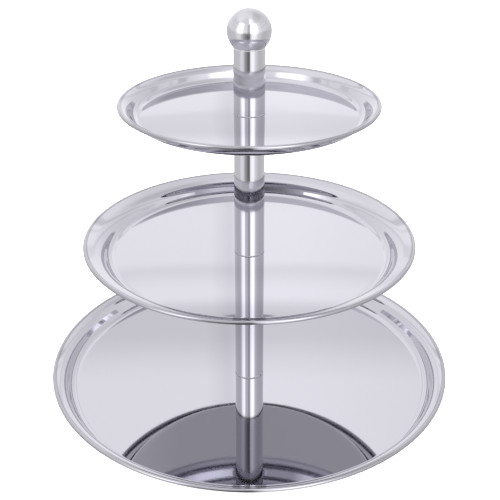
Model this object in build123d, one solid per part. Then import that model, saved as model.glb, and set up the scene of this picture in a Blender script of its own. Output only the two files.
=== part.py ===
from build123d import *
import os
from math import asin, cos, degrees, radians, sin, tan

# Three-tier cake stand in polished stainless steel: three pressed trays on a column of three
# screwed tube sections, with a ball knob on top and four rubber feet underneath.
# Millimetres, +Z up. The origin is the middle of the base, on the table.

# ---- column tubes ----
TUBE_DIAMETER = 25.4
TUBE_WALL = 1.2
LOWER_TUBE_LENGTH = 122.2
MIDDLE_TUBE_LENGTH = 122.2
UPPER_TUBE_LENGTH = 52.8
TUBE_END_CHAMFER = 0.25

# ---- sheet metal, bead and bends that the three trays share, on the upper face ----
SHEET = 0.7
BEAD_DIAMETER = 3.4
CURL_TURN = 280.0
HUB_RADIUS = 20.0
FLOOR_BEND_RADIUS = 7.5
FLARE_RADIUS = 16.0
FLOOR_BEND_SHARE = 0.38
FLARE_SHARE = 0.6
CROWN_SHARE = 0.85

# ---- bottom tray: radii of the sharp corners that its bends round off, on the upper face, and
# depths below the middle of its bead; its floor is flat, so that the feet seat on it ----
BOTTOM_RIM_DIAMETER = 350.0
BOTTOM_FLOOR_RADIUS = 159.5
BOTTOM_WALL_TOP_RADIUS = 164.6
BOTTOM_WALL_TOP_DEPTH = 1.7
BOTTOM_HUB_DEPTH = 15.3
BOTTOM_CROWN = 0.0

# ---- middle tray ----
MIDDLE_RIM_DIAMETER = 280.0
MIDDLE_FLOOR_RADIUS = 118.9
MIDDLE_WALL_TOP_RADIUS = 125.2
MIDDLE_WALL_TOP_DEPTH = 2.5
MIDDLE_HUB_DEPTH = 13.5
MIDDLE_CROWN = 0.4

# ---- top tray ----
TOP_RIM_DIAMETER = 210.0
TOP_FLOOR_RADIUS = 92.0
TOP_WALL_TOP_RADIUS = 97.6
TOP_WALL_TOP_DEPTH = 0.5
TOP_HUB_DEPTH = 9.2
TOP_CROWN = 1.6

# ---- screw thread that joins the sections, made as a plain shank in a plain bore ----
THREAD_DIAMETER = 8.0
THREAD_ENGAGEMENT = 10.0
THREAD_CLEARANCE = 0.05
THREAD_TIP_CHAMFER = 0.8
TRAY_HOLE_CLEARANCE = 0.3

# ---- plugs pressed into the ends of the tubes ----
PLUG_LENGTH = 14.0
PLUG_CLEARANCE = 0.03
PLUG_CHAMFER = 0.5

# ---- thin gaskets on both faces of each tray and under the knob ----
GASKET_THICKNESS = 0.5
GASKET_INSET = 0.2
KNOB_GASKET_THICKNESS = 0.4

# ---- ball knob ----
KNOB_DIAMETER = 35.4
KNOB_WALL = 1.0
KNOB_COLLAR_HEIGHT = 0.4
KNOB_INSERT_LENGTH = 12.0

# ---- base screw and its washers ----
SCREW_HEAD_DIAMETER = 14.0
SCREW_HEAD_HEIGHT = 2.6
SCREW_HEAD_ROUNDING = 0.9
SOCKET_ACROSS_FLATS = 5.0
SOCKET_DEPTH = 1.5
LOCK_WASHER_DIAMETER = 13.0
LOCK_WASHER_THICKNESS = 1.4
LOCK_WASHER_SLIT = 1.0
BASE_WASHER_DIAMETER = 22.0
BASE_WASHER_THICKNESS = 1.2

# ---- rubber feet ----
FOOT_HEIGHT = 6.0
FOOT_DIAMETER = 14.0
FOOT_TIP_DIAMETER = 11.5
FOOT_ROUNDING = 0.8
FOOT_CIRCLE_RADIUS = 125.0
FOOT_NAMES = ["foot_back_right", "foot_back_left", "foot_front_left", "foot_front_right"]

# ---- sizes worked out from those above ----
TUBE_RADIUS = TUBE_DIAMETER / 2
TUBE_BORE_RADIUS = TUBE_RADIUS - TUBE_WALL
PLUG_RADIUS = TUBE_BORE_RADIUS - PLUG_CLEARANCE
THREAD_RADIUS = THREAD_DIAMETER / 2
BORE_RADIUS = THREAD_RADIUS + THREAD_CLEARANCE
TRAY_HOLE_RADIUS = THREAD_RADIUS + TRAY_HOLE_CLEARANCE
GASKET_RADIUS = TUBE_RADIUS - GASKET_INSET
BEAD_RADIUS = BEAD_DIAMETER / 2
TRAY_JOINT = GASKET_THICKNESS + SHEET + GASKET_THICKNESS
BASE_STACK = BASE_WASHER_THICKNESS + LOCK_WASHER_THICKNESS

# ---- heights up the column: the lower face of each piece on the axis ----
BOTTOM_TRAY_Z = FOOT_HEIGHT
LOWER_TUBE_Z = BOTTOM_TRAY_Z + SHEET + GASKET_THICKNESS
LOWER_TUBE_TOP_Z = LOWER_TUBE_Z + LOWER_TUBE_LENGTH
MIDDLE_TRAY_Z = LOWER_TUBE_TOP_Z + GASKET_THICKNESS
MIDDLE_TUBE_Z = LOWER_TUBE_TOP_Z + TRAY_JOINT
MIDDLE_TUBE_TOP_Z = MIDDLE_TUBE_Z + MIDDLE_TUBE_LENGTH
TOP_TRAY_Z = MIDDLE_TUBE_TOP_Z + GASKET_THICKNESS
UPPER_TUBE_Z = MIDDLE_TUBE_TOP_Z + TRAY_JOINT
UPPER_TUBE_TOP_Z = UPPER_TUBE_Z + UPPER_TUBE_LENGTH
KNOB_Z = UPPER_TUBE_TOP_Z + KNOB_GASKET_THICKNESS

ON_BASE = (Align.CENTER, Align.CENTER, Align.MIN)


def ring(outer_radius, inner_radius, bottom_z, height):
    """A flat or tall ring around the column, with its lower face at bottom_z."""
    outside = Cylinder(outer_radius, height, align=ON_BASE)
    inside = Cylinder(inner_radius, height, align=ON_BASE)
    return Pos(0, 0, bottom_z) * (outside - inside)


def rim_edges(solid, radius):
    """The circular edges of one radius on a turned piece."""
    circles = solid.edges().filter_by(GeomType.CIRCLE)
    return [edge for edge in circles if abs(edge.radius - radius) < THREAD_CLEARANCE / 10]


def widest_bend(before, corner, after, share):
    """The radius of a bend that takes up a share of the shorter of the two runs it joins."""
    shorter = min((corner - before).length, (after - corner).length)
    turn = (corner - before).get_angle(after - corner)
    return share * shorter / tan(radians(turn / 2))


def lower_side(edge):
    """A line or an arc of the tray's upper face, moved to its right by the sheet's thickness."""
    start, middle, end = (edge @ t + (edge % t).rotate(Axis.Z, -90) * SHEET for t in (0, 0.5, 1))
    if edge.geom_type == GeomType.LINE:
        return Line(start, end)
    return ThreePointArc(start, middle, end)


def tray(rim_diameter, floor_radius, wall_top_radius, wall_top_depth, hub_depth, crown, bottom_z):
    """A pressed tray: flat hub, crowned floor, steep wall, flared lip and a curled bead."""
    bead_middle = Vector(rim_diameter / 2 - BEAD_RADIUS, 0)
    wall_top = Vector(wall_top_radius, -wall_top_depth)
    lip_span = bead_middle - wall_top
    lip_turn = degrees(asin(BEAD_RADIUS / lip_span.length))
    lip_direction = lip_span.normalized().rotate(Axis.Z, lip_turn)
    lip_end = bead_middle + lip_direction.rotate(Axis.Z, 90) * BEAD_RADIUS
    floor_edge = Vector(floor_radius, -hub_depth - crown)
    crown_bend = Vector((HUB_RADIUS + floor_radius) / 2, -hub_depth)
    hub_edge = Vector(HUB_RADIUS, -hub_depth)
    floor_bend = min(FLOOR_BEND_RADIUS, widest_bend(crown_bend, floor_edge, wall_top, FLOOR_BEND_SHARE))
    flare = min(FLARE_RADIUS, widest_bend(floor_edge, wall_top, lip_end, FLARE_SHARE))
    corners = [Vector(TRAY_HOLE_RADIUS, -hub_depth), floor_edge, wall_top, lip_end]
    bends = [floor_bend, flare]
    if crown:
        corners.insert(1, crown_bend)
        bends.insert(0, widest_bend(hub_edge, crown_bend, floor_edge, CROWN_SHARE))
    pressed = FilletPolyline(*corners, radius=bends)
    curl = JernArc(start=lip_end, tangent=lip_direction, radius=BEAD_RADIUS, arc_size=-CURL_TURN)
    upper = [*pressed.edges(), *curl.edges()]
    lower = [lower_side(edge).edge() for edge in upper]
    hole_side = Line(upper[0] @ 0, lower[0] @ 0)
    curl_tip = Line(upper[-1] @ 1, lower[-1] @ 1)
    section = make_face([*upper, *lower, hole_side.edge(), curl_tip.edge()])
    return Pos(0, 0, bottom_z + SHEET + hub_depth) * revolve(Plane.XZ * section, Axis.Z)


def tube(bottom_z, length):
    """A length of round tube with a light chamfer on its outer edges."""
    plain = ring(TUBE_RADIUS, TUBE_BORE_RADIUS, bottom_z, length)
    return chamfer(rim_edges(plain, TUBE_RADIUS), TUBE_END_CHAMFER)


def plug(bottom_z):
    """A turned plug with a bore for the thread, pressed into the end of a tube."""
    plain = ring(PLUG_RADIUS, BORE_RADIUS, bottom_z, PLUG_LENGTH)
    return chamfer(rim_edges(plain, PLUG_RADIUS), PLUG_CHAMFER)


def stud(tube_top_z, joint_thickness):
    """A headless screw fixed in the plug below a joint, that stands up into the piece above."""
    bottom_z = tube_top_z - PLUG_LENGTH
    top_z = tube_top_z + joint_thickness + THREAD_ENGAGEMENT
    shank = Pos(0, 0, bottom_z) * Cylinder(THREAD_RADIUS, top_z - bottom_z, align=ON_BASE)
    return chamfer(rim_edges(shank, THREAD_RADIUS), THREAD_TIP_CHAMFER)


def gasket(bottom_z, thickness):
    """A thin flat washer, a little smaller than the tube that presses on it."""
    return ring(GASKET_RADIUS, TRAY_HOLE_RADIUS, bottom_z, thickness)


def knob_ball():
    """A hollow ball cut off where it is as wide as the tube, with a short straight collar."""
    ball_radius = KNOB_DIAMETER / 2
    drop = ball_radius * cos(asin(TUBE_RADIUS / ball_radius))
    ball_middle = Vector(0, KNOB_Z + KNOB_COLLAR_HEIGHT + drop)
    outer_start = -degrees(asin(drop / ball_radius))
    hollow_radius = ball_radius - KNOB_WALL
    mouth_radius = TUBE_RADIUS - KNOB_WALL
    hollow_drop = hollow_radius * cos(asin(mouth_radius / hollow_radius))
    inner_start = -degrees(asin(hollow_drop / hollow_radius))
    outer = CenterArc(ball_middle, ball_radius, outer_start, 90 - outer_start)
    inner = CenterArc(ball_middle, hollow_radius, inner_start, 90 - inner_start)
    foot = Polyline(inner @ 0, (mouth_radius, KNOB_Z), (TUBE_RADIUS, KNOB_Z), outer @ 0)
    pole = Line(outer @ 1, inner @ 1)
    section = make_face([*outer.edges(), *pole.edges(), *inner.edges(), *foot.edges()])
    return revolve(Plane.XZ * section, Axis.Z)


def knob_insert():
    """A turned disc with a bore for the thread, pressed into the mouth of the ball."""
    radius = TUBE_RADIUS - KNOB_WALL - PLUG_CLEARANCE
    plain = ring(radius, BORE_RADIUS, KNOB_Z, KNOB_INSERT_LENGTH)
    return chamfer(rim_edges(plain, radius), PLUG_CHAMFER)


def base_screw():
    """A round-headed screw with a six-sided socket, standing up through the bottom tray."""
    head_top_z = BOTTOM_TRAY_Z - BASE_STACK
    head_z = head_top_z - SCREW_HEAD_HEIGHT
    head = Pos(0, 0, head_z) * Cylinder(SCREW_HEAD_DIAMETER / 2, SCREW_HEAD_HEIGHT, align=ON_BASE)
    lower_edge = head.edges().filter_by(GeomType.CIRCLE).sort_by(Axis.Z)[0]
    head = fillet(lower_edge, SCREW_HEAD_ROUNDING)
    socket = extrude(RegularPolygon(SOCKET_ACROSS_FLATS / 2, 6, major_radius=False), SOCKET_DEPTH)
    top_z = LOWER_TUBE_Z + THREAD_ENGAGEMENT
    shank = Pos(0, 0, head_top_z) * Cylinder(THREAD_RADIUS, top_z - head_top_z, align=ON_BASE)
    tip = shank.edges().filter_by(GeomType.CIRCLE).sort_by(Axis.Z)[-1]
    return head + chamfer(tip, THREAD_TIP_CHAMFER) - Pos(0, 0, head_z) * socket


def lock_washer():
    """A split spring washer under the base washer, drawn flat."""
    bottom_z = BOTTOM_TRAY_Z - BASE_STACK
    plain = ring(LOCK_WASHER_DIAMETER / 2, TRAY_HOLE_RADIUS, bottom_z, LOCK_WASHER_THICKNESS)
    slit = Box(LOCK_WASHER_DIAMETER, LOCK_WASHER_SLIT, LOCK_WASHER_THICKNESS,
               align=(Align.MIN, Align.CENTER, Align.MIN))
    return plain - Pos(0, 0, bottom_z) * slit


def base_washer():
    """A wide washer that spreads the screw's pull over the thin sheet of the bottom tray."""
    bottom_z = BOTTOM_TRAY_Z - BASE_WASHER_THICKNESS
    return ring(BASE_WASHER_DIAMETER / 2, TRAY_HOLE_RADIUS, bottom_z, BASE_WASHER_THICKNESS)


def foot(quarter):
    """A tapered rubber foot bonded under the bottom tray, in one of four quarters."""
    base = Circle(FOOT_TIP_DIAMETER / 2)
    seat = Pos(0, 0, FOOT_HEIGHT) * Circle(FOOT_DIAMETER / 2)
    plain = loft([base, seat])
    tip = plain.edges().filter_by(GeomType.CIRCLE).sort_by(Axis.Z)[0]
    angle = radians(45 + 90 * quarter)
    place = Pos(FOOT_CIRCLE_RADIUS * cos(angle), FOOT_CIRCLE_RADIUS * sin(angle), 0)
    return place * fillet(tip, FOOT_ROUNDING)


PIECES = {
    "bottom_tray": tray(BOTTOM_RIM_DIAMETER, BOTTOM_FLOOR_RADIUS, BOTTOM_WALL_TOP_RADIUS,
                        BOTTOM_WALL_TOP_DEPTH, BOTTOM_HUB_DEPTH, BOTTOM_CROWN, BOTTOM_TRAY_Z),
    "middle_tray": tray(MIDDLE_RIM_DIAMETER, MIDDLE_FLOOR_RADIUS, MIDDLE_WALL_TOP_RADIUS,
                        MIDDLE_WALL_TOP_DEPTH, MIDDLE_HUB_DEPTH, MIDDLE_CROWN, MIDDLE_TRAY_Z),
    "top_tray": tray(TOP_RIM_DIAMETER, TOP_FLOOR_RADIUS, TOP_WALL_TOP_RADIUS,
                     TOP_WALL_TOP_DEPTH, TOP_HUB_DEPTH, TOP_CROWN, TOP_TRAY_Z),
    "lower_tube": tube(LOWER_TUBE_Z, LOWER_TUBE_LENGTH),
    "middle_tube": tube(MIDDLE_TUBE_Z, MIDDLE_TUBE_LENGTH),
    "upper_tube": tube(UPPER_TUBE_Z, UPPER_TUBE_LENGTH),
    "lower_tube_foot_plug": plug(LOWER_TUBE_Z),
    "lower_tube_head_plug": plug(LOWER_TUBE_TOP_Z - PLUG_LENGTH),
    "middle_tube_foot_plug": plug(MIDDLE_TUBE_Z),
    "middle_tube_head_plug": plug(MIDDLE_TUBE_TOP_Z - PLUG_LENGTH),
    "upper_tube_foot_plug": plug(UPPER_TUBE_Z),
    "upper_tube_head_plug": plug(UPPER_TUBE_TOP_Z - PLUG_LENGTH),
    "lower_stud": stud(LOWER_TUBE_TOP_Z, TRAY_JOINT),
    "middle_stud": stud(MIDDLE_TUBE_TOP_Z, TRAY_JOINT),
    "knob_stud": stud(UPPER_TUBE_TOP_Z, KNOB_GASKET_THICKNESS),
    "lower_tube_foot_gasket": gasket(LOWER_TUBE_Z - GASKET_THICKNESS, GASKET_THICKNESS),
    "lower_tube_head_gasket": gasket(LOWER_TUBE_TOP_Z, GASKET_THICKNESS),
    "middle_tube_foot_gasket": gasket(MIDDLE_TUBE_Z - GASKET_THICKNESS, GASKET_THICKNESS),
    "middle_tube_head_gasket": gasket(MIDDLE_TUBE_TOP_Z, GASKET_THICKNESS),
    "upper_tube_foot_gasket": gasket(UPPER_TUBE_Z - GASKET_THICKNESS, GASKET_THICKNESS),
    "knob_gasket": gasket(UPPER_TUBE_TOP_Z, KNOB_GASKET_THICKNESS),
    "knob_ball": knob_ball(),
    "knob_insert": knob_insert(),
    "base_screw": base_screw(),
    "base_lock_washer": lock_washer(),
    "base_washer": base_washer(),
}
for quarter, name in enumerate(FOOT_NAMES):
    PIECES[name] = foot(quarter)

os.makedirs("parts", exist_ok=True)
for name, piece in PIECES.items():
    export_step(piece, f"parts/{name}.step")
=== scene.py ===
from math import asin, radians, sin, tan

import bpy
from mathutils import Matrix, Vector


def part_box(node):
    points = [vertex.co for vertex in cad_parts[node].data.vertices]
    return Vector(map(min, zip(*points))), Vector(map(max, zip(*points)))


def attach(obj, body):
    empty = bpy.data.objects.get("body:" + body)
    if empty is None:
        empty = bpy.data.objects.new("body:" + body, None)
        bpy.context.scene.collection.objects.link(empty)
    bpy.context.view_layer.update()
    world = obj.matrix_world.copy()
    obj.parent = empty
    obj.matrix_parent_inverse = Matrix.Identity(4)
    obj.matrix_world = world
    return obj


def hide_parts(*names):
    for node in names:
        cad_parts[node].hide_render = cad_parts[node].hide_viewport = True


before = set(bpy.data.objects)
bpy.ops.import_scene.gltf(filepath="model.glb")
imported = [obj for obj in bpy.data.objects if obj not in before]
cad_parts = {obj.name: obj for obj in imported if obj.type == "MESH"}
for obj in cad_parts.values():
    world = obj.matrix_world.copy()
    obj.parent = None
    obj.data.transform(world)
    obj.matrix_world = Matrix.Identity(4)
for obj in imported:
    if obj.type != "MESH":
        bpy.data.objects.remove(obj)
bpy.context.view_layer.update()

# The studio. A tent of white cloth lights the stand softly from all round. Polished steel shows
# the tent itself, so it has two bright panels with a narrow gap between them in front, long soft
# steps behind and a shaded lower half. To the camera it is plain white.

# Stops of place and light. AROUND, OVERHEAD and BELOW go all the way round, from behind over the
# left side and the front back to behind. UPWARDS goes from the horizon, 0.5, to overhead, 1, and
# multiplies AROUND. One passes into the next between the two elevations below, in degrees.
AROUND = [(0.0, 1.33), (0.0022, 1.33), (0.0027, 1.12), (0.0071, 1.12), (0.0076, 1.27), (0.03, 1.26),
          (0.10, 1.2), (0.19, 1.1), (0.29, 1.1), (0.315, 1.5), (0.345, 2.5), (0.38, 3.0), (0.40, 2.4),
          (0.42, 1.3), (0.465, 1.2), (0.487, 0.8), (0.502, 0.45), (0.522, 2.2), (0.555, 3.1), (0.59, 3.2),
          (0.612, 2.4), (0.635, 1.4), (0.70, 1.1), (0.84, 1.0), (0.92, 1.1), (0.965, 1.22), (0.98, 1.28),
          (0.99, 1.33), (1.0, 1.33)]
UPWARDS = [(0.50, 0.95), (0.57, 0.98), (0.602, 0.98), (0.605, 0.88), (0.623, 0.86), (0.634, 1.02),
           (0.6565, 1.02), (0.658, 0.9), (0.663, 0.9), (0.665, 1.04), (0.6745, 1.04), (0.6765, 0.76),
           (0.6905, 0.78), (0.692, 0.98), (1.0, 1.02)]
OVERHEAD = [(0.0, 1.1), (0.10, 1.25), (0.22, 1.25), (0.30, 1.3), (0.36, 1.1), (0.485, 1.05), (0.5, 1.6),
            (0.52, 1.9), (0.575, 1.6), (0.60, 1.25), (0.65, 1.0), (0.78, 0.85), (0.86, 0.8), (0.93, 1.0),
            (1.0, 1.1)]
BELOW = [(0.0, 0.72), (0.012, 0.72), (0.02, 0.85), (0.10, 0.8), (0.25, 0.85), (0.29, 0.85), (0.32, 1.1),
         (0.37, 1.1), (0.39, 0.85), (0.42, 0.5), (0.45, 0.36), (0.475, 0.22), (0.505, 0.2), (0.53, 1.5),
         (0.585, 1.6), (0.62, 1.1), (0.68, 0.85), (0.72, 0.75), (0.85, 0.85), (0.97, 0.75), (1.0, 0.72)]
BELOW_FROM, BELOW_TO = -5, 4
OVERHEAD_FROM, OVERHEAD_TO = 38, 50
CEILING_FROM, CEILING_TO = 66, 84
CEILING = 1.2
SOFT_LIGHT = 2.8
BACKGROUND = 1.05
ROOM_TINT = (0.985, 0.98, 1.0)


def mix_of(nodes, links, kind, first, second=0.0, third=0.0):
    """A maths node that combines up to three sockets or numbers."""
    node = nodes.new("ShaderNodeMath")
    node.operation = kind
    for place, value in enumerate((first, second, third)):
        if isinstance(value, (int, float)):
            node.inputs[place].default_value = value
        else:
            links.new(value, node.inputs[place])
    return node.outputs[0]


def light_ramp(nodes, links, share, stops):
    """A ramp of greys along a share from 0 to 1. A ramp stores up to 1, so it is scaled back up."""
    brightest = max(grey for _, grey in stops)
    ramp = nodes.new("ShaderNodeValToRGB")
    links.new(share, ramp.inputs[0])
    made = ramp.color_ramp.elements
    made[1].position = stops[-1][0]
    for place, _ in stops[1:-1]:
        made.new(place)
    for stop, (place, grey) in zip(made, stops):
        stop.position = place
        stop.color = (*(grey / brightest,) * 3, 1.0)
    return mix_of(nodes, links, "MULTIPLY", ramp.outputs["Color"], brightest)


def faded(nodes, links, low, high, height, start, end):
    """One light low down and another high up, with a soft change between two elevations."""
    change = nodes.new("ShaderNodeMapRange")
    change.interpolation_type = "SMOOTHSTEP"
    change.inputs["From Min"].default_value = start
    change.inputs["From Max"].default_value = end
    links.new(height, change.inputs["Value"])
    blend = nodes.new("ShaderNodeMix")
    links.new(change.outputs["Result"], blend.inputs["Factor"])
    for name, value in (("A", low), ("B", high)):
        if isinstance(value, float):
            blend.inputs[name].default_value = value
        else:
            links.new(value, blend.inputs[name])
    return blend.outputs["Result"]


room = bpy.data.worlds.new("studio_room")
bpy.context.scene.world = room
room.use_nodes = True
nodes, links = room.node_tree.nodes, room.node_tree.links
room_light = nodes["Background"]
direction = nodes.new("ShaderNodeTexCoord")
parts = nodes.new("ShaderNodeSeparateXYZ")
links.new(direction.outputs["Generated"], parts.inputs[0])
towards_front = mix_of(nodes, links, "MULTIPLY", parts.outputs["Y"], -1.0)
turn = mix_of(nodes, links, "ARCTAN2", parts.outputs["X"], towards_front)
around = mix_of(nodes, links, "MULTIPLY_ADD", turn, 1 / radians(360), 0.5)
height = mix_of(nodes, links, "ARCSINE", parts.outputs["Z"])
upwards = mix_of(nodes, links, "MULTIPLY_ADD", height, 1 / radians(180), 0.5)
walls = mix_of(nodes, links, "MULTIPLY", light_ramp(nodes, links, around, AROUND),
               light_ramp(nodes, links, upwards, UPWARDS))
walls = faded(nodes, links, light_ramp(nodes, links, around, BELOW), walls, height,
              radians(BELOW_FROM), radians(BELOW_TO))
above = faded(nodes, links, light_ramp(nodes, links, around, OVERHEAD), CEILING, height,
              radians(CEILING_FROM), radians(CEILING_TO))
tent = faded(nodes, links, walls, above, height, radians(OVERHEAD_FROM), radians(OVERHEAD_TO))
# Matt surfaces and the camera each see one even light in place of the tent.
sight = nodes.new("ShaderNodeLightPath")
shown = tent
for ray, light in (("Is Diffuse Ray", SOFT_LIGHT), ("Is Camera Ray", BACKGROUND)):
    chosen = nodes.new("ShaderNodeMix")
    links.new(sight.outputs[ray], chosen.inputs["Factor"])
    links.new(shown, chosen.inputs["A"])
    chosen.inputs["B"].default_value = light
    shown = chosen.outputs["Result"]
links.new(shown, room_light.inputs["Strength"])
room_light.inputs["Color"].default_value = (*ROOM_TINT, 1.0)

# The table. A wide white board, matt and lit from below, so the shadow under the stand is faint.
# The steel shows the tent instead of it.
TABLE_SIZE = 12.0
TABLE_GREY = 0.95
TABLE_ROUGHNESS = 0.8
TABLE_GLOW = 0.7
bpy.ops.object.select_all(action="DESELECT")
bpy.ops.mesh.primitive_plane_add(size=TABLE_SIZE)
table_top = bpy.context.object
table_top.name = "table_top"
table_top.visible_glossy = False
table_paint = bpy.data.materials.new("table_paint")
table_paint.use_nodes = True
table_shader = table_paint.node_tree.nodes["Principled BSDF"]
table_shader.inputs["Base Color"].default_value = (*(TABLE_GREY,) * 3, 1)
table_shader.inputs["Roughness"].default_value = TABLE_ROUGHNESS
table_shader.inputs["Emission Color"].default_value = (1, 1, 1, 1)
table_shader.inputs["Emission Strength"].default_value = TABLE_GLOW
table_top.data.materials.append(table_paint)

# The camera. It stands straight in front and looks down on the stand, with no roll, as somebody
# at the table would. Its lens is shifted, so the stand sits in the middle of the frame.
BEAD_RADIUS = 0.0017
CAMERA_AWAY = 0.694
CAMERA_ABOVE_RIM = 0.469
CAMERA_PITCH = 24.45
CAMERA_LENS = 65.5
CAMERA_FILM = 36
CAMERA_SHIFT = (0.0014, -0.0952)
bottom_rim_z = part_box("bottom_tray")[1].z - BEAD_RADIUS
bpy.ops.object.camera_add(location=(0, -CAMERA_AWAY, bottom_rim_z + CAMERA_ABOVE_RIM),
                          rotation=(radians(90 - CAMERA_PITCH), 0, 0))
camera = bpy.context.object
camera.data.lens = CAMERA_LENS
camera.data.sensor_width = CAMERA_FILM
camera.data.shift_x, camera.data.shift_y = CAMERA_SHIFT
bpy.context.scene.camera = camera
bpy.context.scene.view_settings.view_transform = "Standard"

# The three trays. Each is one disc of steel pressed to a flat floor, a short steep wall and a
# sloping lip, its edge curled over into a hollow bead. They are buffed on a lathe, which leaves
# very fine rings, and the sheet is a little wavy. Only their sizes differ.
TRAY_COLOUR = (0.57, 0.565, 0.61)
BEAD_SHARE = 2.4
# Painted shade across the bead, from the lip outward: dark at the crease and again at the outer edge, in
# place of the dark reflections there.
BEAD_PAINTED_SHADE = [(0.0, 1.0), (0.2, 0.62), (0.4, 0.7), (0.55, 0.85), (0.75, 0.8), (1.0, 0.68)]
SHEET = 0.0007
CURL = radians(280)
CURL_STEPS = 40
HOLE_RADIUS = 0.0043
HUB_RADIUS = 0.02
FLOOR_BEND, FLOOR_BEND_SHARE = 0.0075, 0.38
FLARE, FLARE_SHARE = 0.016, 0.6
CROWN_SHARE = 0.85
LATHE_STEPS = 288
SAME_POINT = 0.000005
SHARP_EDGE = radians(35)
TRAYS = {
    "bottom_tray": {"body": "base", "floor": 0.1595, "wall_top": 0.1646, "wall_depth": 0.0017, "crown": 0.0},
    "middle_tray": {"body": "middle_tier", "floor": 0.1189, "wall_top": 0.1252, "wall_depth": 0.0025,
                    "crown": 0.0004},
    "top_tray": {"body": "top_tier", "floor": 0.092, "wall_top": 0.0976, "wall_depth": 0.0005,
                 "crown": 0.0016},
}
MARKS = {"Rings": (1400, 3), "Smears": (34, 5), "Waves": (9, 1)}
RING_TONE, SMEAR_TONE = 0.4, 0.5
RING_HEIGHT = 0.02
TINT_RANGE = (0.9, 1.1)
MARK_DEPTH = 0.0004


def buffing_marks():
    """A node group: fine rings round the column, faint smears and a slow waviness. MARKS gives the
    scale and the detail of each, and the inputs say how strong each is."""
    group = bpy.data.node_groups.new("buffing_marks", "ShaderNodeTree")
    sockets = group.interface
    for name, kind in (("Place", "NodeSocketVector"), ("Rings", "NodeSocketFloat"),
                       ("Smears", "NodeSocketFloat"), ("Waves", "NodeSocketFloat")):
        sockets.new_socket(name, in_out="INPUT", socket_type=kind)
    for name, kind in (("Tone", "NodeSocketFloat"), ("Roughness", "NodeSocketFloat"),
                       ("Height", "NodeSocketFloat"), ("Radius", "NodeSocketFloat")):
        sockets.new_socket(name, in_out="OUTPUT", socket_type=kind)
    nodes, links = group.nodes, group.links
    given, result = nodes.new("NodeGroupInput"), nodes.new("NodeGroupOutput")
    axes = nodes.new("ShaderNodeSeparateXYZ")
    links.new(given.outputs["Place"], axes.inputs[0])
    x2 = mix_of(nodes, links, "POWER", axes.outputs["X"], 2.0)
    y2 = mix_of(nodes, links, "POWER", axes.outputs["Y"], 2.0)
    radius = mix_of(nodes, links, "SQRT", mix_of(nodes, links, "ADD", x2, y2))
    links.new(radius, result.inputs["Radius"])
    spun = nodes.new("ShaderNodeCombineXYZ")
    links.new(radius, spun.inputs["X"])
    links.new(axes.outputs["Z"], spun.inputs["Z"])
    marks = []
    for name, (scale, detail) in MARKS.items():
        noise = nodes.new("ShaderNodeTexNoise")
        noise.inputs["Scale"].default_value = scale
        noise.inputs["Detail"].default_value = detail
        links.new(spun.outputs[0] if name == "Rings" else given.outputs["Place"], noise.inputs["Vector"])
        swing = mix_of(nodes, links, "SUBTRACT", noise.outputs["Fac"], 0.5)
        marks.append(mix_of(nodes, links, "MULTIPLY", swing, given.outputs[name]))
    rings, smears, waves = marks
    smear_tone = mix_of(nodes, links, "MULTIPLY", smears, SMEAR_TONE)
    links.new(mix_of(nodes, links, "MULTIPLY_ADD", rings, RING_TONE, smear_tone), result.inputs["Tone"])
    links.new(mix_of(nodes, links, "ADD", rings, smears), result.inputs["Roughness"])
    links.new(mix_of(nodes, links, "MULTIPLY_ADD", rings, RING_HEIGHT, waves), result.inputs["Height"])
    return group


BUFFING = buffing_marks()


def steel(name, colour, roughness, rings, smears, waves, bead=None):
    """Steel with the buffing marks in its tone, its roughness and its surface. Given a band of radii,
    a tray's bead gets painted shade: darker at the crease where the lip meets it and at its outer edge."""
    material = bpy.data.materials.new(name)
    material.use_nodes = True
    nodes, links = material.node_tree.nodes, material.node_tree.links
    shader = nodes["Principled BSDF"]
    shader.inputs["Metallic"].default_value = 1.0
    place = nodes.new("ShaderNodeTexCoord")
    marks = nodes.new("ShaderNodeGroup")
    marks.node_tree = BUFFING
    links.new(place.outputs["Object"], marks.inputs["Place"])
    for socket, value in (("Rings", rings), ("Smears", smears), ("Waves", waves)):
        marks.inputs[socket].default_value = value
    tint = nodes.new("ShaderNodeMix")
    tint.data_type = "RGBA"
    for socket, share in zip("AB", TINT_RANGE):
        tint.inputs[socket].default_value = (*(channel * share for channel in colour), 1)
    links.new(mix_of(nodes, links, "ADD", marks.outputs["Tone"], 0.5), tint.inputs["Factor"])
    finish = tint.outputs["Result"]
    # Painted shade on the bead: its colour is multiplied down at the crease and at the outer edge.
    if bead:
        edge = nodes.new("ShaderNodeMapRange")
        edge.inputs["From Min"].default_value = bead[0]
        edge.inputs["From Max"].default_value = bead[1]
        links.new(marks.outputs["Radius"], edge.inputs["Value"])
        painted_shade = nodes.new("ShaderNodeMix")
        painted_shade.data_type = "RGBA"
        painted_shade.blend_type = "MULTIPLY"
        painted_shade.inputs["Factor"].default_value = 1.0
        links.new(finish, painted_shade.inputs["A"])
        links.new(light_ramp(nodes, links, edge.outputs["Result"], BEAD_PAINTED_SHADE), painted_shade.inputs["B"])
        finish = painted_shade.outputs["Result"]
    links.new(finish, shader.inputs["Base Color"])
    links.new(mix_of(nodes, links, "ADD", marks.outputs["Roughness"], roughness),
              shader.inputs["Roughness"])
    bump = nodes.new("ShaderNodeBump")
    bump.inputs["Distance"].default_value = MARK_DEPTH
    links.new(marks.outputs["Height"], bump.inputs["Height"])
    links.new(bump.outputs["Normal"], shader.inputs["Normal"])
    return material


def widest_bend(before, corner, after, share):
    """The radius of a bend that takes up a share of the shorter of the two runs it joins."""
    shorter = min((corner - before).length, (after - corner).length)
    turn = (corner - before).angle(after - corner)
    return share * shorter / tan(turn / 2)


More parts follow.
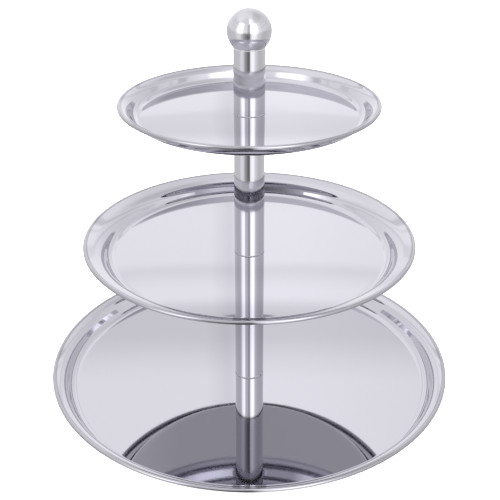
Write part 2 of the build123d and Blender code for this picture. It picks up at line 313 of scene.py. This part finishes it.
def rounded(corners, bends, steps=14):
    """The corners joined by straight lines, with an arc of the given radius at each inner one."""
    line = [corners[0]]
    for before, corner, after, radius in zip(corners, corners[1:], corners[2:], bends):
        inward, outward = (before - corner).normalized(), (after - corner).normalized()
        half = inward.angle(outward) / 2
        centre = corner + (inward + outward).normalized() * radius / sin(half)
        start = corner + inward * radius / tan(half) - centre
        end = corner + outward * radius / tan(half) - centre
        sweep = start.angle_signed(end)
        for step in range(steps + 1):
            line.append(centre + start @ Matrix.Rotation(sweep * step / steps, 2))
    return line + [corners[-1]]


def moved_down(line, distance):
    """The same line moved to its right, which is the underside of a sheet."""
    under = []
    for number, point in enumerate(line):
        ahead = line[min(number + 1, len(line) - 1)] - line[max(number - 1, 0)]
        ahead.normalize()
        under.append(point + Vector((ahead.y, -ahead.x)) * distance)
    return under


def lathe(name, outline):
    """A closed outline, drawn point by point and spun once round the column."""
    bpy.ops.object.select_all(action="DESELECT")
    bpy.ops.mesh.primitive_plane_add(size=SHEET)
    turned = bpy.context.object
    turned.name = name
    bpy.ops.object.mode_set(mode="EDIT")
    bpy.ops.mesh.select_all(action="SELECT")
    bpy.ops.mesh.merge(type="CENTER")
    bpy.ops.transform.translate(value=(outline[0].x, 0, outline[0].y))
    for before, point in zip(outline, outline[1:]):
        step = point - before
        bpy.ops.mesh.extrude_region_move(TRANSFORM_OT_translate={"value": (step.x, 0, step.y)})
    bpy.ops.mesh.select_all(action="SELECT")
    bpy.ops.mesh.spin(steps=LATHE_STEPS, angle=radians(360), center=(0, 0, 0), axis=(0, 0, 1))
    bpy.ops.mesh.select_all(action="SELECT")
    bpy.ops.mesh.remove_doubles(threshold=SAME_POINT)
    bpy.ops.mesh.normals_make_consistent(inside=False)
    bpy.ops.object.mode_set(mode="OBJECT")
    bpy.ops.object.shade_smooth_by_angle(angle=SHARP_EDGE)
    return turned


for node, size in TRAYS.items():
    low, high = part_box(node)
    rim_z = high.z - BEAD_RADIUS
    bead = Vector((high.x - BEAD_RADIUS, rim_z))
    hub_z = low.z + size["crown"] + SHEET
    wall_top = Vector((size["wall_top"], rim_z - size["wall_depth"]))
    span = bead - wall_top
    lip_turn = asin(BEAD_RADIUS / span.length)
    lip = Matrix.Rotation(lip_turn, 2) @ span.normalized()
    lip_end = bead + Vector((-lip.y, lip.x)) * BEAD_RADIUS
    hole, hub = Vector((HOLE_RADIUS, hub_z)), Vector((HUB_RADIUS, hub_z))
    floor = Vector((size["floor"], hub_z - size["crown"]))
    crown = (hub + Vector((floor.x, hub_z))) / 2
    floor_bend = min(FLOOR_BEND, widest_bend(crown, floor, wall_top, FLOOR_BEND_SHARE))
    flare = min(FLARE, widest_bend(floor, wall_top, lip_end, FLARE_SHARE))
    corners, bends = [hole, floor, wall_top, lip_end], [floor_bend, flare]
    if size["crown"]:
        corners.insert(1, crown)
        bends.insert(0, widest_bend(hub, crown, floor, CROWN_SHARE))
    upper = rounded(corners, bends)
    curl_start = lip_end - bead
    for step in range(1, CURL_STEPS + 1):
        upper.append(bead + Matrix.Rotation(-CURL * step / CURL_STEPS, 2) @ curl_start)
    under = moved_down(upper, SHEET)
    tray = lathe(node + "_sheet", upper + under[::-1] + upper[:1])
    tray_steel = steel(node + "_steel", TRAY_COLOUR, roughness=0.03, rings=0.02, smears=0.03, waves=0.15,
                       bead=(high.x - BEAD_SHARE * BEAD_RADIUS, high.x))
    tray.data.materials.append(tray_steel)
    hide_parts(node)
    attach(tray, size["body"])

# The column. Three lengths of drawn steel tube, polished like the trays. They screw together
# through the trays, with a thin gasket pinched at each seam.
COLUMN_COLOUR = (0.6, 0.595, 0.625)
column_steel = steel("column_steel", COLUMN_COLOUR, roughness=0.06, rings=0.02, smears=0.03, waves=0.1)
for node in ("lower_tube", "middle_tube", "upper_tube"):
    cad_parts[node].material_slots[0].material = column_steel

# The knob. A hollow ball of thin steel, with a softer and less even shine than the column's. It
# screws onto the top stud, and the stand is lifted by it.
knob_steel = steel("knob_steel", COLUMN_COLOUR, roughness=0.14, rings=0.1, smears=0.3, waves=1.6)
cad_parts["knob_ball"].material_slots[0].material = knob_steel

# The turned parts. Plugs pressed into the tubes, the studs that join them, and the screw and
# washers under the bottom tray: plain steel left as machined, with fine tool marks.
TURNED_COLOUR = (0.52, 0.52, 0.53)
turned_steel = steel("turned_steel", TURNED_COLOUR, roughness=0.28, rings=0.25, smears=0.1, waves=0.1)
TURNED = ["knob_insert", "base_washer", "base_lock_washer", "base_screw",
          "lower_stud", "middle_stud", "knob_stud"]
TURNED += [f"{tube}_tube_{end}_plug" for tube in ("lower", "middle", "upper") for end in ("foot", "head")]
for node in TURNED:
    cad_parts[node].material_slots[0].material = turned_steel


# The rubber parts. Thin grey gaskets pinched between the tubes and the trays, and four black feet
# pushed on under the bottom tray. All are moulded, matt and finely grained.
GASKET_GREY, FOOT_GREY = 0.36, 0.02
GRAIN_SCALE, GRAIN_DETAIL = 900, 4
GRAIN_SHADES = (0.7, 1.6)
GRAIN_DEPTH = 0.0001
RUBBER_ROUGHNESS, ROUGHNESS_SWING = 0.6, 0.2


def rubber(name, grey):
    """Rubber of one grey, finely mottled, with the same grain in its roughness and surface."""
    material = bpy.data.materials.new(name)
    material.use_nodes = True
    nodes, links = material.node_tree.nodes, material.node_tree.links
    shader = nodes["Principled BSDF"]
    place = nodes.new("ShaderNodeTexCoord")
    grain = nodes.new("ShaderNodeTexNoise")
    grain.inputs["Scale"].default_value = GRAIN_SCALE
    grain.inputs["Detail"].default_value = GRAIN_DETAIL
    links.new(place.outputs["Object"], grain.inputs["Vector"])
    shade = nodes.new("ShaderNodeValToRGB")
    for stop, share in zip(shade.color_ramp.elements, GRAIN_SHADES):
        stop.color = (*(grey * share,) * 3, 1)
    links.new(grain.outputs["Fac"], shade.inputs[0])
    links.new(shade.outputs["Color"], shader.inputs["Base Color"])
    links.new(mix_of(nodes, links, "MULTIPLY_ADD", grain.outputs["Fac"], ROUGHNESS_SWING, RUBBER_ROUGHNESS),
              shader.inputs["Roughness"])
    bump = nodes.new("ShaderNodeBump")
    bump.inputs["Distance"].default_value = GRAIN_DEPTH
    links.new(grain.outputs["Fac"], bump.inputs["Height"])
    links.new(bump.outputs["Normal"], shader.inputs["Normal"])
    return material


gasket_rubber = rubber("gasket_rubber", GASKET_GREY)
foot_rubber = rubber("foot_rubber", FOOT_GREY)
for name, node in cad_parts.items():
    if "gasket" in name:
        node.material_slots[0].material = gasket_rubber
    if name.startswith("foot_"):
        node.material_slots[0].material = foot_rubber
